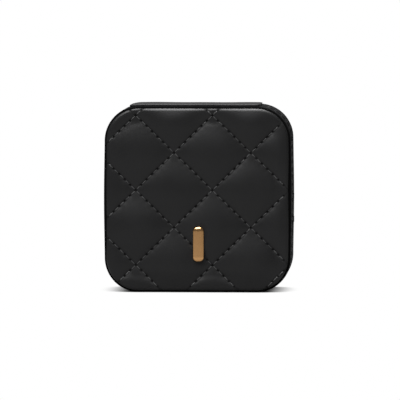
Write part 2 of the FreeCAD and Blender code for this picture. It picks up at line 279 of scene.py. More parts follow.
def grid_quads(
    rows: int, columns: int, wrap_rows: bool = False, wrap_columns: bool = False
) -> Indices:
    """Index the four-sided faces of a grid of points.

    Args:
        rows: Number of rows.
        columns: Number of columns.
        wrap_rows: Whether the last row joins the first.
        wrap_columns: Whether the last column joins the first.

    Returns:
        One row of four point numbers per face.
    """
    index = np.arange(rows * columns).reshape(rows, columns)
    if wrap_rows:
        index = np.vstack([index, index[:1]])
    if wrap_columns:
        index = np.hstack([index, index[:, :1]])
    corners = [index[:-1, :-1], index[1:, :-1], index[1:, 1:], index[:-1, 1:]]
    return np.stack(corners, axis=-1).reshape(-1, 4)


def skinned(points: Array, closed: bool = False) -> Shape:
    """Skin a closed profile that was carried along a path. An open path gets a flat face at each
    end.

    Args:
        points: For each place on the path the points of the profile.
        closed: Whether the path joins up with its start.

    Returns:
        The closed surface.
    """
    rows, count = points.shape[:2]
    faces = [grid_quads(rows, count, wrap_rows=closed, wrap_columns=True)]
    if not closed:
        ring = np.arange(count)
        faces.append(np.stack([ring, ring[::-1] + (rows - 1) * count]))
    return Shape(points.reshape(-1, 3), tuple(faces)).outward()


def carried_profile(profile: Array, outline: Outline, run: Array, closed: bool = True) -> Shape:
    """Carry a closed profile along an outline: each place takes the profile's first number as
    its inset and the second as its depth.

    Args:
        profile: Rows of inset and depth, or one such set of rows per place.
        outline: The outline walked along.
        run: Lengths walked.
        closed: Whether the walk joins up with its start.

    Returns:
        The closed surface.
    """
    stations = outline.stations(run)
    rows = np.broadcast_to(profile, (len(run), *profile.shape[-2:]))
    reach = outline.corner - rows[..., :1]
    flat = stations.centre[:, None] + reach * stations.outward[:, None]
    return skinned(np.stack([flat[..., 0], rows[..., 1], flat[..., 1]], axis=-1), closed)


def straight_bar(profile: Array, ends: tuple[float, float], axis: Axis) -> Shape:
    """Carry a closed profile, rows of the two other coordinates, along one of the axes."""
    places = np.repeat(np.array(ends)[:, None], len(profile), axis=1)
    return skinned(np.insert(np.stack([profile, profile]), axis, places, axis=2))


def square_border(across: Array, up: Array) -> Array:
    """Walk round a square of side 2 from its top middle, clockwise.

    Args:
        across: Sideways positions, -1 to 1.
        up: Upward positions, -1 to 1.

    Returns:
        Share of the whole way, 0 to 1, at which the ray through each point leaves the square.
    """
    size = np.maximum(np.maximum(np.abs(across), np.abs(up)), 1e-9)
    a, b = across / size, up / size
    on_right = (a >= np.abs(b)) & (b < 1)
    on_bottom = (b <= -np.abs(a)) & ~on_right
    on_left = (a <= -np.abs(b)) & ~on_bottom & (b < 1)
    ways = [2 - b, 4 - a, 6 + b, a]
    return np.select([on_right, on_bottom, on_left, a >= 0], ways, 8 + a) / 8


@dataclass(frozen=True)
class SoftRim:
    """Relief that falls away towards a panel's rim: how deep and how far in."""

    depth: float
    width: float

    def __call__(self, across: Array, up: Array, room: Array) -> Array:
        """Sink by a smooth step of the room that is left to the rim."""
        return self.depth * (1 - smooth_step(room / self.width))


@dataclass(frozen=True)
class Panel:
    """Flat or padded panel with a rounded rim: a face plane, a back plane, the rim's width and
    depth, and the share of the relief by which the rim is tucked in."""

    outline: Outline
    inset: float
    face: float
    back: float
    rim_width: float
    rim_depth: float
    cells: int
    rings: int = 8
    tuck: float = 0.3

    @classmethod
    def of_node(
        cls, node: str, outline: Outline, facing: Facing, rim: tuple[float, float], cells: int,
        rings: int = 8,
    ) -> "Panel":
        """Fit a panel to a node of the frame.

        Args:
            node: The node's name.
            outline: The case's outline, inside which the panel lies.
            facing: The way that the panel faces.
            rim: Width and depth of its rim.
            cells: Number of cells along each side of its face.
            rings: Number of rings round its rim.

        Returns:
            The panel.
        """
        low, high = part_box(node)
        face, back = (low.y, high.y) if facing is Facing.FRONT else (high.y, low.y)
        return cls(outline, outline.half_width - high.x, face, back, *rim, cells, rings)

    @property
    def inner(self) -> float:
        """How far inside the outline the face ends and the rim begins."""
        return self.inset + self.rim_width

    @property
    def way(self) -> float:
        """Sign of the way from the face to the back."""
        return math.copysign(1, self.back - self.face)

    def face_points(self, relief: Relief) -> Array:
        """Draw squares inside squares out to the rounded outline, so that the face is one grid
        without a pole, and sink it by the relief.

        Args:
            relief: Gives depths below the face plane.

        Returns:
            The face's points.
        """
        line = np.linspace(-1, 1, self.cells + 1)
        across, up = (part.ravel() for part in np.meshgrid(line, line, indexing="ij"))
        run = square_border(across, up) * self.outline.length(self.inner)
        edge = self.outline.points(self.outline.stations(run, self.inner), self.inner)
        size = np.maximum(np.abs(across), np.abs(up))[:, None]
        flat = self.outline.centre + size * (edge - self.outline.centre)
        room = self.outline.room(*flat.T) - self.inset
        return np.insert(flat, 1, self.face + self.way * relief(*flat.T, room), axis=1)

    def rim_points(self, relief: Relief) -> Array:
        """Carry a quarter ellipse round the face, sunk and tucked in by the relief, and end with
        a ring on the back plane.

        Args:
            relief: Gives depths below the face plane.

        Returns:
            The rings' points, from the face to the back.
        """
        count = 4 * self.cells
        run = np.arange(count) / count * self.outline.length(self.inner)
        stations = self.outline.stations(run, self.inner)
        turn = np.linspace(0, QUARTER_TURN, self.rings + 1)[1:, None]
        upright = np.broadcast_to(np.cos(turn), (self.rings, count))
        lean = np.broadcast_to(np.sin(turn), (self.rings, count))
        room = self.rim_width * (1 - lean)
        reach = self.outline.corner - self.inset - room
        rim = stations.centre + reach[..., None] * stations.outward
        sunk = relief(rim[..., 0], rim[..., 1], room)
        rim = rim - (self.tuck * sunk * lean)[..., None] * stations.outward
        depth = self.face + self.way * (self.rim_depth * (1 - upright) + sunk * upright)
        rings = np.stack([rim[..., 0], depth, rim[..., 1]], axis=-1).reshape(-1, 3)
        return np.vstack([rings, np.insert(rim[-1], 1, self.back, axis=1)])

    def faces(self) -> tuple[Indices, Indices]:
        """Index the face's grid with the rim's rings, and the one face of the back.

        Returns:
            Point numbers of the four-sided faces and of the back.
        """
        side = self.cells + 1
        index = np.arange(side**2).reshape(side, side)
        half = self.cells // 2
        sides = [index[half:, -1], index[-1, -2::-1], index[-2::-1, 0], index[0, 1:]]
        border = np.concatenate([*sides, index[1:half, -1]])
        more = index.size + np.arange((self.rings + 1) * len(border)).reshape(-1, len(border))
        rings = np.vstack([border[None], more])
        rings = np.hstack([rings, rings[:, :1]])
        corners = [rings[:-1, :-1], rings[:-1, 1:], rings[1:, 1:], rings[1:, :-1]]
        around = np.stack(corners, axis=-1).reshape(-1, 4)
        return np.vstack([grid_quads(side, side), around]), more[-1:]

    def shape(self, relief: Relief) -> Shape:
        """Build the panel with a relief, which gives depths below the face plane."""
        points = np.vstack([self.face_points(relief), self.rim_points(relief)])
        return Shape(points, self.faces()).outward()


class Nodes:
    """Adds and feeds the nodes of one tree."""

    def __init__(self, tree: bpy.types.NodeTree) -> None:
        """Take the tree to work on."""
        self.tree = tree

    def feed(self, node: bpy.types.Node, inputs: dict[str | int, object]) -> None:
        """Connect a node's inputs to outputs, or set them where the source is a constant.

        Args:
            node: The node to feed.
            inputs: An output socket or a constant for each input's name or number.
        """
        for socket, source in inputs.items():
            if isinstance(source, Socket):
                self.tree.links.new(source, node.inputs[socket])
            else:
                node.inputs[socket].default_value = source

    def node(
        self, kind: str, inputs: dict[str | int, object] | None = None, **settings: object
    ) -> bpy.types.Node:
        """Add a node.

        Args:
            kind: The node's type.
            inputs: What its inputs get.
            settings: Its properties.

        Returns:
            The node.
        """
        made = self.tree.nodes.new(kind)
        for key, value in settings.items():
            setattr(made, key, value)
        self.feed(made, inputs or {})
        return made

    def reckoned(self, operation: str, first: object, second: object) -> Socket:
        """Combine two values by an operation."""
        made = self.node("ShaderNodeMath", {0: first, 1: second}, operation=operation)
        return made.outputs["Value"]

    def show(self, share: object, first: object, second: object, output: str) -> None:
        """Send a mix of two shaders to the tree's output."""
        mix = self.node("ShaderNodeMixShader", {0: share, 1: first, 2: second})
        self.feed(self.tree.nodes[output], {"Surface": mix.outputs["Shader"]})


class Shader(Nodes):
    """Wires the nodes of one material. Scales count per metre, depths are in metres."""

    def __init__(self, name: str) -> None:
        """Start a material with its plain surface.

        Args:
            name: The material's name.
        """
        self.material = bpy.data.materials.new(name)
        self.material.use_nodes = True
        super().__init__(self.material.node_tree)
        self.surface = self.tree.nodes["Principled BSDF"]
        self.place = self.node("ShaderNodeTexCoord").outputs["Object"]

    def paint(self, inputs: dict[str, object]) -> None:
        """Feed the plain surface."""
        self.feed(self.surface, inputs)

    def stretched(self, scale: Triple) -> Socket:
        """Stretch the object's coordinates along the axes."""
        inputs = {"Vector": self.place, "Scale": scale}
        return self.node("ShaderNodeMapping", inputs).outputs["Vector"]

    def noise(self, scale: float, detail: float = 2.0, place: Socket | None = None) -> Socket:
        """Add cloudy noise, about 0 to 1, with a number of finer layers."""
        inputs = {"Vector": place or self.place, "Scale": scale, "Detail": detail}
        return self.node("ShaderNodeTexNoise", inputs).outputs["Fac"]

    def pebbles(self, scale: float, smoothness: float = 0.6) -> Socket:
        """Add small rounded cells, as the distance from the middle of each."""
        inputs = {"Vector": self.place, "Scale": scale, "Smoothness": smoothness}
        return self.node("ShaderNodeTexVoronoi", inputs, feature="SMOOTH_F1").outputs["Distance"]

    def ribs(self, scale: float, distortion: float = 1.5) -> Socket:
        """Add slightly wavy ribs, 0 to 1, side by side from front to back."""
        inputs = {"Vector": self.place, "Scale": scale, "Distortion": distortion}
        return self.node("ShaderNodeTexWave", inputs, bands_direction="Y").outputs["Fac"]

    def between(self, share: object, low: object, high: object) -> Socket:
        """Map 0 to 1 onto a range."""
        inputs = {"Value": share, "To Min": low, "To Max": high}
        return self.node("ShaderNodeMapRange", inputs).outputs["Result"]

    def blended(self, share: object, first: object, second: object) -> Socket:
        """Blend two colours by the share of the second."""
        inputs = {0: share, 6: first, 7: second}
        return self.node("ShaderNodeMix", inputs, data_type="RGBA").outputs[2]

    def bumped(
        self, height: object, depth: float, share: float, under: Socket | None = None
    ) -> Socket:
        """Raise a fine relief on the surface.

        Args:
            height: The relief, 0 to 1.
            depth: Its depth.
            share: How much of it shows.
            under: A relief that it lies on.

        Returns:
            The changed way outward.
        """
        inputs = {"Height": height, "Distance": depth, "Strength": share}
        below = {} if under is None else {"Normal": under}
        return self.node("ShaderNodeBump", inputs | below).outputs["Normal"]


@dataclass(frozen=True)
class Finish:
    """Finish of a piece: its slot, its name, its colour and how rough it is."""

    slot: Slot
    name: str
    colour: Triple
    roughness: float

    def dress(self, shader: Shader) -> None:
        """Wire the finish."""
        raise NotImplementedError

    def shade(self, factor: float) -> tuple[float, float, float, float]:
        """Darken or lighten the colour."""
        return (*(part * factor for part in self.colour), 1.0)

    def toned(self, shader: Shader, share: Socket, tones: tuple[float, float]) -> Socket:
        """Let the colour vary between a darker and a lighter tone."""
        return shader.blended(share, *(self.shade(tone) for tone in tones))

    def uneven(self, shader: Shader, share: Socket, spread: tuple[float, float]) -> Socket:
        """Let the roughness vary, as far below and above its own value as the spread says."""
        return shader.between(share, self.roughness - spread[0], self.roughness + spread[1])

    def material(self) -> bpy.types.Material:
        """Get the material.

        Returns:
            The finish's material, made on the first call.
        """
        made = bpy.data.materials.get(self.name)
        if made is None:
            shader = Shader(self.name)
            self.dress(shader)
            made = shader.material
        return made


@dataclass(frozen=True)
class Leather(Finish):
    """Fine-grained leather with painted shade: dark and dull where its seam attribute says so.
    Clouds are given by scale and layers."""

    clouds: tuple[float, float] = (55, 3)
    tones: tuple[float, float] = (0.8, 1.2)
    spread: tuple[float, float] = (0.08, 0.08)
    grain: float = 1100.0
    grain_depth: float = 0.03 * MM
    grain_share: float = 0.7
    pores: float = 4200.0
    pore_depth: float = 0.01 * MM
    pore_share: float = 0.5
    shine: float = 0.29
    painted_shade_tone: float = 0.1

    def dress(self, shader: Shader) -> None:
        """Wire cloudy tones, painted shade that darkens and dulls where the seam attribute says,
        and grain over fine pores.

        Args:
            shader: The material to wire.
        """
        cloud = shader.noise(*self.clouds)
        # The seam attribute holds painted shade: needle holes, seam creases, wall grooves and the
        # strip's cut edges.
        seam = shader.node("ShaderNodeAttribute", attribute_name="seam").outputs["Fac"]
        tone = self.toned(shader, cloud, self.tones)
        rough = self.uneven(shader, cloud, self.spread)
        pores = shader.bumped(shader.noise(self.pores), self.pore_depth, self.pore_share)
        grain = shader.pebbles(self.grain)
        shader.paint({
            # Painted shade: the colour falls to the shade tone where the seam attribute is high.
            "Base Color": shader.blended(seam, tone, self.shade(self.painted_shade_tone)),
            "Roughness": shader.between(seam, rough, 1.0),
            "Specular IOR Level": self.shine,
            "Normal": shader.bumped(grain, self.grain_depth, self.grain_share, pores),
        })


@dataclass(frozen=True)
class Fibre(Finish):
    """Thread, napped cloth or board: clouds and nap by scale and layers, the range of tones, the
    nap's depth and the share of it that shows, and a bloom at grazing angles."""

    clouds: tuple[float, float]
    tones: tuple[float, float]
    nap: tuple[float, float]
    nap_depth: float
    nap_share: float
    shine: float = 0.5
    sheen: float = 0.0
    sheen_roughness: float = 0.5

    def dress(self, shader: Shader) -> None:
        """Wire cloudy tones and the nap.

        Args:
            shader: The material to wire.
        """
        nap = shader.noise(*self.nap)
        shader.paint({
            "Base Color": self.toned(shader, shader.noise(*self.clouds), self.tones),
            "Roughness": self.roughness,
            "Specular IOR Level": self.shine,
            "Sheen Weight": self.sheen,
            "Sheen Roughness": self.sheen_roughness,
            "Normal": shader.bumped(nap, self.nap_depth, self.nap_share),
        })


@dataclass(frozen=True)
class Metal(Finish):
    """Plated metal with a faint brushing along the height."""

    clouds: tuple[float, float] = (300, 2)
    tones: tuple[float, float] = (0.92, 1.06)
    spread: tuple[float, float] = (0.05, 0.07)
    lines: Triple = (9000.0, 9000.0, 260.0)
    line_layers: int = 3
    line_depth: float = 0.004 * MM
    line_share: float = 0.5

    def dress(self, shader: Shader) -> None:
        """Wire long fine lines into roughness and relief.

        Args:
            shader: The material to wire.
        """
        lines = shader.noise(1, self.line_layers, shader.stretched(self.lines))
        shader.paint({
            "Base Color": self.toned(shader, shader.noise(*self.clouds), self.tones),
            "Metallic": 1.0,
            "Roughness": self.uneven(shader, lines, self.spread),
            "Normal": shader.bumped(lines, self.line_depth, self.line_share),
        })


@dataclass(frozen=True)
class Mirror(Finish):
    """Silvered glass with the faintest unevenness."""

    clouds: tuple[float, float] = (120, 2)
    tones: tuple[float, float] = (0.98, 1.02)
    spread: tuple[float, float] = (0.0, 0.02)

    def dress(self, shader: Shader) -> None:
        """Wire one cloud into tone and roughness.

        Args:
            shader: The material to wire.
        """
        cloud = shader.noise(*self.clouds)
        shader.paint({
            "Base Color": self.toned(shader, cloud, self.tones),
            "Metallic": 1.0,
            "Roughness": self.uneven(shader, cloud, self.spread),
        })


@dataclass(frozen=True)
class WovenTape(Finish):
    """Closely woven tape, ribbed along its length."""

    tones: tuple[float, float] = (0.6, 1.3)
    ribs: float = 320.0
    rib_depth: float = 0.08 * MM
    rib_share: float = 0.6
    yarn: float = 3000.0
    yarn_depth: float = 0.05 * MM
    yarn_share: float = 0.5
    sheen: float = 0.25

    def dress(self, shader: Shader) -> None:
        """Wire ribs into tone and relief, over rough yarn.

        Args:
            shader: The material to wire.
        """
        ribs = shader.ribs(self.ribs)
        yarn = shader.bumped(shader.noise(self.yarn), self.yarn_depth, self.yarn_share)
        shader.paint({
            "Base Color": self.toned(shader, ribs, self.tones),
            "Roughness": self.roughness,
            "Sheen Weight": self.sheen,
            "Normal": shader.bumped(ribs, self.rib_depth, self.rib_share, yarn),
        })


LEATHER = Leather(Slot.LEATHER, "black_leather_finish", (0.0117, 0.0117, 0.0121), 0.39)
STRIP_LEATHER = Leather(
    Slot.LEATHER, "strip_leather_finish", (0.0105, 0.0105, 0.0109), 0.46, grain=1300.0, shine=0.45
)
# The side walls' leather: the same black leather with less shine and a darker colour, which is
# painted shade.
SHADED_WALL_LEATHER = Leather(
    Slot.LEATHER, "shaded_wall_leather_finish", (0.0085, 0.0085, 0.0089), 0.6, shine=0.05
)
THREAD = Fibre(
    Slot.LEATHER, "thread_finish", (0.038, 0.038, 0.039), 0.55, clouds=(5200, 2), tones=(0.7, 1.3),
    nap=(5200, 2), nap_depth=0.05 * MM, nap_share=0.6, sheen=0.3,
)
SUEDE = Fibre(
    Slot.SUEDE, "suede_finish", (0.028, 0.028, 0.03), 0.9, clouds=(90, 3), tones=(0.75, 1.25),
    nap=(3500, 3), nap_depth=0.06 * MM, nap_share=0.7, shine=0.2, sheen=0.35, sheen_roughness=0.4,
)
BOARD = Fibre(
    Slot.BOARD, "board_finish", (0.35, 0.31, 0.26), 0.9, clouds=(900, 4), tones=(0.8, 1.15),
    nap=(900, 4), nap_depth=0.05 * MM, nap_share=0.5,
)
GOLD = Metal(Slot.GOLD, "gold_finish", (0.72, 0.4, 0.17), 0.2)
DARK_METAL = Metal(Slot.DARK_METAL, "dark_metal_finish", (0.05, 0.05, 0.053), 0.42)
STEEL = Metal(Slot.STEEL, "steel_finish", (0.6, 0.6, 0.6), 0.35)
MIRROR = Mirror(Slot.MIRROR, "mirror_finish", (0.9, 0.91, 0.91), 0.02)
TAPE = WovenTape(Slot.TAPE, "zip_tape_finish", (0.012, 0.012, 0.012), 0.85)


@dataclass(frozen=True)
class Piece:
    """One shown piece: its surface, its finish, the body it moves with, the node it stands for,
    the angle at which its edges are sharp, and how much painted shade each point gets."""

    name: str
    shape: Shape
    finish: Finish
    body: Body | None = None
    stands_for: str | None = None
    crease: float = 45.0
    # Painted shade per point, stored as the seam attribute.
    seam: Array | None = None

    def place(self) -> bpy.types.Object:
        """Put the piece in the scene.

        Returns:
            The new object.
        """
        mesh = bpy.data.meshes.new(self.name)
        faces = sum((group.tolist() for group in self.shape.faces), [])
        mesh.from_pydata(self.shape.points.tolist(), [], faces)
        mesh.polygons.foreach_set("use_smooth", np.ones(len(faces), dtype=bool))
        mesh.set_sharp_from_angle(angle=math.radians(self.crease))
        mesh.materials.append(self.finish.material())
        # Painted shade goes to the mesh as the seam attribute.
        if self.seam is not None:
            painted_shade = mesh.attributes.new("seam", "FLOAT", "POINT")
            painted_shade.data.foreach_set("value", self.seam.astype(np.float32))
        mesh.update()
        made = bpy.data.objects.new(self.name, mesh)
        bpy.context.scene.collection.objects.link(made)
        if self.stands_for is not None:
            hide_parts(self.stands_for)
        if self.body is not None:
            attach(made, self.body.value)
        log.info("%s: %d faces", self.name, len(faces))
        return made


def dress_nodes(finish: Finish, *names: str) -> None:
    """Give nodes of the frame their finish.

    Args:
        finish: The finish.
        names: The nodes' names.
    """
    for name in names:
        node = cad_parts[name]
        node.data.materials.clear()
        node.data.materials.append(finish.material())
        log.info("%s: dressed", name)


@dataclass(frozen=True)
class CaseSizes:
    """Main sizes of the case, in metres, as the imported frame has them."""

    outline: Outline
    parting: float
    leather: float

    @classmethod
    def from_frame(cls, corner: float = 18 * MM) -> "CaseSizes":
        """Read the sizes off the frame.

        Args:
            corner: Radius of the case's corners.

        Returns:
            The sizes.
        """
        low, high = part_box("base_wall_leather")
        parting = (low.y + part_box("lid_wall_leather")[1].y) / 2
        leather = high.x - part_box("base_board")[1].x
        return cls(Outline(high.x, low.z, high.z, corner), parting, leather)


@dataclass(frozen=True)
class Seam:
    """Sewn stitches: thread radius, stitch length, the gap at a needle hole, how deep the thread
    dives into it and how far it stands up, the taper towards the ends, where the end points lie
    as a share of the length, and how deep the whole thread beds in."""

    radius: float = 0.33 * MM
    pitch: float = 4.0 * MM
    gap: float = 0.7 * MM
    sink: float = 0.3 * MM
    lift: float = 0.04 * MM
    taper: float = 0.45
    tip: float = 0.52
    bed: float = 0.2 * MM

    def stitch(self, rings: int = 7, sides: int = 6) -> Shape:
        """Build one stitch of unit length along x, outward along y. Its centre line is a
        fourth-power arch that dives into the holes; its radius shrinks towards the ends, which
        close in a point.

        Args:
            rings: Number of rings along it.
            sides: Number of points on each ring.

        Returns:
            The closed surface.
        """
        along = np.linspace(-0.5, 0.5, rings)[:, None]
        turn = np.arange(sides)[None] * 2 * math.pi / sides
        near = (2 * along) ** 4
        radius = self.radius * (1 - self.taper * near)
        out = self.lift - (self.lift + self.sink) * near + radius * np.cos(turn)
        side = radius * np.sin(turn)
        points = np.stack([np.broadcast_to(along, out.shape), out, side], axis=-1)
        poles = np.array([[-self.tip, -self.sink, 0], [self.tip, -self.sink, 0]])
        ring = np.arange(sides)
        after = np.roll(ring, -1)
        last = (rings - 1) * sides
        start = rings * sides
        caps = np.vstack([
            np.stack([ring, after, np.full(sides, start)], axis=1),
            np.stack([after + last, ring + last, np.full(sides, start + 1)], axis=1),
        ])
        quads = grid_quads(rings, sides, wrap_columns=True)
        return Shape(np.vstack([points.reshape(-1, 3), poles]), (quads, caps)).outward()

    def sewn(self, holes: tuple[Array, Array], outward: Array) -> Shape:
        """Lay one stitch between each pair of needle holes.

        Args:
            holes: Where the stitches begin and where they end.
            outward: The way out of the surface at each stitch, or at all of them.

        Returns:
            All the stitches.
        """
        span = holes[1] - holes[0]
        outward = np.broadcast_to(outward, span.shape)
        length = np.linalg.norm(span, axis=1, keepdims=True)
        along = span / length
        axes = np.stack([along * (length - self.gap), outward, np.cross(along, outward)], axis=1)
        return self.stitch().repeated((holes[0] + holes[1]) / 2, axes)


@dataclass(frozen=True)
class QuiltedFront:
    """Padded leather front of the lid, sewn in diamonds, with a plain slim bar on it."""

    sizes: CaseSizes
    seam: Seam
    pitch: tuple[float, float] = (40.5 * MM, 39.5 * MM)
    crossing: tuple[float, float] = (7.9 * MM, 53.8 * MM)
    seams_each_way: int = 5
    stitches_per_side: int = 7
    rim: tuple[float, float] = (1.7 * MM, 2.5 * MM)
    rings: int = 12
    cells: int = 264
    sharp: float = 80.0
    channel: float = 3.0 * MM
    channel_at_rim: float = 0.2
    channel_fade: float = 9 * MM
    plump: float = 0.62
    crease: float = 0.03
    crease_width: float = 0.7 * MM
    painted_crease_shade: float = 0.6
    pillow: float = 1.8 * MM
    pillow_width: float = 11 * MM
    pucker: float = 0.025 * MM
    pucker_reach: float = 1.6 * MM
    hole_width: float = 0.36 * MM
    hole_depth: float = 0.35 * MM
    fine_fade: float = 5 * MM
    rim_margin: float = 0.5 * MM
    bar_margin: float = 0.2 * MM
    bar_thickness: float = 1.5 * MM
    bar_corner: float = 2.2 * MM
    bar_rim: tuple[float, float] = (1.7 * MM, 0.9 * MM)
    bar_rings: int = 10
    bar_cells: int = 48
    bar_crown: SoftRim = SoftRim(0.12 * MM, 2.4 * MM)
    bar_bed: float = 0.03 * MM
    dish_depth: float = 1.4 * MM
    dish_width: float = 3.2 * MM
    dish_power: float = 1.5

    @property
    def side(self) -> float:
        """Side of one diamond."""
        return math.hypot(*self.pitch) / 2

    @property
    def row(self) -> float:
        """Distance between two parallel seams."""
        return self.pitch[0] * self.pitch[1] / math.hypot(*self.pitch)

    @property
    def bar_outline(self) -> Outline:
        """Outline of the bar."""
        return Outline.around("badge_bar", self.bar_corner)

    def diamonds(self, across: Array, up: Array) -> tuple[Array, Array]:
        """Count diamonds along the two diagonals from the crossing; seams are whole numbers.

        Args:
            across: Sideways positions.
            up: Upward positions.

        Returns:
            Numbers of diamonds towards the upper right and towards the upper left.
        """
        x = (across - self.crossing[0]) / self.pitch[0]
        z = (up - self.crossing[1]) / self.pitch[1]
        return z + x, z - x

    def seam_marks(self, across: Array, up: Array) -> tuple[Array, Array]:
        """Find needle holes and seam creases, as bell curves of the distance to them.

        Args:
            across: Sideways positions.
            up: Upward positions.

        Returns:
            How much each point belongs to a hole and to a crease, 0 to 1.
        """
        holes = np.zeros_like(across)
        creases = np.zeros_like(across)
        u, v = self.diamonds(across, up)
        for off, along in ((u, v), (v, u)):
            off = self.row * (off - np.round(off))
            along = along * self.stitches_per_side
            along = self.side / self.stitches_per_side * (along - np.round(along))
            near = np.exp(-(off**2 + along**2) / (2 * self.hole_width**2))
            holes = np.maximum(holes, near)
            creases = np.maximum(creases, np.exp(-((off / self.crease_width) ** 2)))
        return holes, creases

    def relief(self, across: Array, up: Array, room: Array) -> Array:
        """Sink the padding at the seams. Each diamond swells as a low power of the product of
        two sines along the diagonals; the channels grow shallow and the whole front falls away
        towards the rim; stitches pucker the leather, holes dimple it, and the bar dishes it.

        Args:
            across: Sideways positions.
            up: Upward positions.
            room: Distance to the panel's rim.

        Returns:
            Depth below the face plane.
        """
        u, v = self.diamonds(across, up)
        swell = np.ones_like(across)
        pucker = np.zeros_like(across)
        for off, along in ((u, v), (v, u)):
            wave = np.sin(math.pi * off)
            swell = swell * np.sqrt((wave**2 + self.crease**2) / (1 + self.crease**2))
            away = self.row * np.abs(off - np.round(off))
            beat = np.cos(2 * math.pi * along * self.stitches_per_side)
            pucker = pucker + beat * np.exp(-away / self.pucker_reach)
        inward = smooth_step(room / self.channel_fade)
        fade = self.channel_at_rim + (1 - self.channel_at_rim) * inward
        depth = self.channel * (1 - swell**self.plump) * fade
        depth = depth + self.pillow * np.clip(1 - room / self.pillow_width, 0, 1) ** 2
        fine = self.pucker * pucker + self.hole_depth * self.seam_marks(across, up)[0]
        depth = depth + fine * smooth_step(room / self.fine_fade)
        front, bar_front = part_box("lid_quilted_cover")[0].y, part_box("badge_bar")[0].y
        past = np.maximum(-self.bar_outline.room(across, up), 0)
        rise = self.dish_depth * (past / self.dish_width) ** self.dish_power
        return np.maximum(depth, bar_front + self.bar_thickness + self.bar_bed - front - rise)

    def stitches(self, face: float, inset: float) -> Shape:
        """Sew along both families of seams, as far as the rim and clear of the bar.

        Args:
            face: Depth of the face plane.
            inset: How far inside the case's outline the rim lies.

        Returns:
            All the stitches.
        """
        count, reach = self.stitches_per_side, self.seams_each_way
        lines = np.arange(-reach, reach + 1)
        painted_shade = np.arange(-reach * count, reach * count + 1) / count
        first, second = np.meshgrid(lines, painted_shade, indexing="ij")
        x = np.stack([first - second, second - first]) / 2 * self.pitch[0] + self.crossing[0]
        z = np.stack([first + second] * 2) / 2 * self.pitch[1] + self.crossing[1]
        places = np.stack([x, z], axis=-1)
        ends = (places[:, :, :-1].reshape(-1, 2), places[:, :, 1:].reshape(-1, 2))
        outline, bar = self.sizes.outline, self.bar_outline
        room = np.minimum(*(outline.room(*place.T) for place in ends))
        clear = np.minimum(*(-bar.room(*place.T) for place in ends))
        kept = (room > inset + self.rim_margin) & (clear > self.bar_margin)
        holes = []
        for place in ends:
            place = place[kept]
            room = outline.room(*place.T) - inset
            lean = np.clip(1 - room / self.rim[0], 0, 1)
            depth = face + self.relief(*place.T, room)
            depth = depth + self.rim[1] * (1 - np.sqrt(1 - lean**2))
            holes.append(np.insert(place, 1, depth - self.seam.bed, axis=1))
        return self.seam.sewn((holes[0], holes[1]), np.array([0.0, -1.0, 0.0]))

    def build(self) -> None:
        """Put the front, its thread and the bar in the scene."""
        node, outline = "lid_quilted_cover", self.sizes.outline
        panel = Panel.of_node(node, outline, Facing.FRONT, self.rim, self.cells, self.rings)
        shape = panel.shape(self.relief)
        holes, creases = self.seam_marks(shape.points[:, 0], shape.points[:, 2])
        # Painted shade in the needle holes and along the seam creases.
        painted_shade = np.clip(holes + self.painted_crease_shade * creases, 0, 1)
        front = Piece("quilted_front", shape, LEATHER, Body.LID, node, self.sharp, painted_shade).place()
        thread = self.stitches(panel.face, panel.inset)
        Piece("quilt_thread", thread, THREAD, Body.LID).place()
        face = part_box("badge_bar")[0].y
        planes = (face, face + self.bar_thickness)
        counts = (self.bar_cells, self.bar_rings)
        bar = Panel(self.bar_outline, 0.0, *planes, *self.bar_rim, *counts)
        Piece("gold_bar", bar.shape(self.bar_crown), GOLD, Body.LID, "badge_bar").place()


